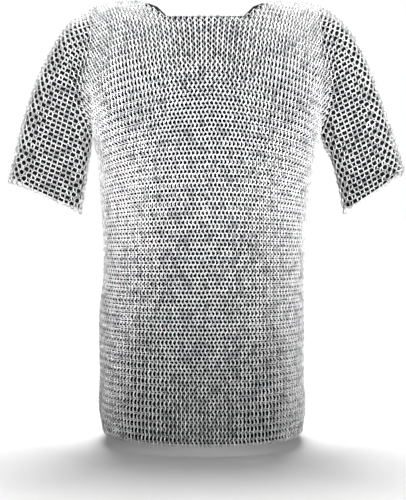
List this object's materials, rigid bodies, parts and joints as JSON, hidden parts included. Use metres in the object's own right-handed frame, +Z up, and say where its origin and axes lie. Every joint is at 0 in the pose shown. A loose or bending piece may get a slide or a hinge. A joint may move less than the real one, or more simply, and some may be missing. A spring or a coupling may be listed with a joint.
{
  "type": "chainmail hauberk",
  "caption": "Hip-length mail shirt of interlinked steel rings with half sleeves and a wide square neck, hollow as worn, for protection from cuts.",
  "frame": {"origin": "midway between the two shoulder ridges, at their height, where a wearer's or a stand's shoulders carry the garment", "axes": "+Z up, -Y out of the chest, +X towards the wearer's left"},
  "size_m": [0.786, 0.2864, 0.847],
  "materials": {
    "galvanised_mail": "bright zinc-plated steel wire rings, semi-gloss"
  },
  "bodies": {
    "root": {"front": "galvanised_mail", "back": "galvanised_mail", "right_sleeve": "galvanised_mail", "left_sleeve": "galvanised_mail"}
  },
  "joints": []
}
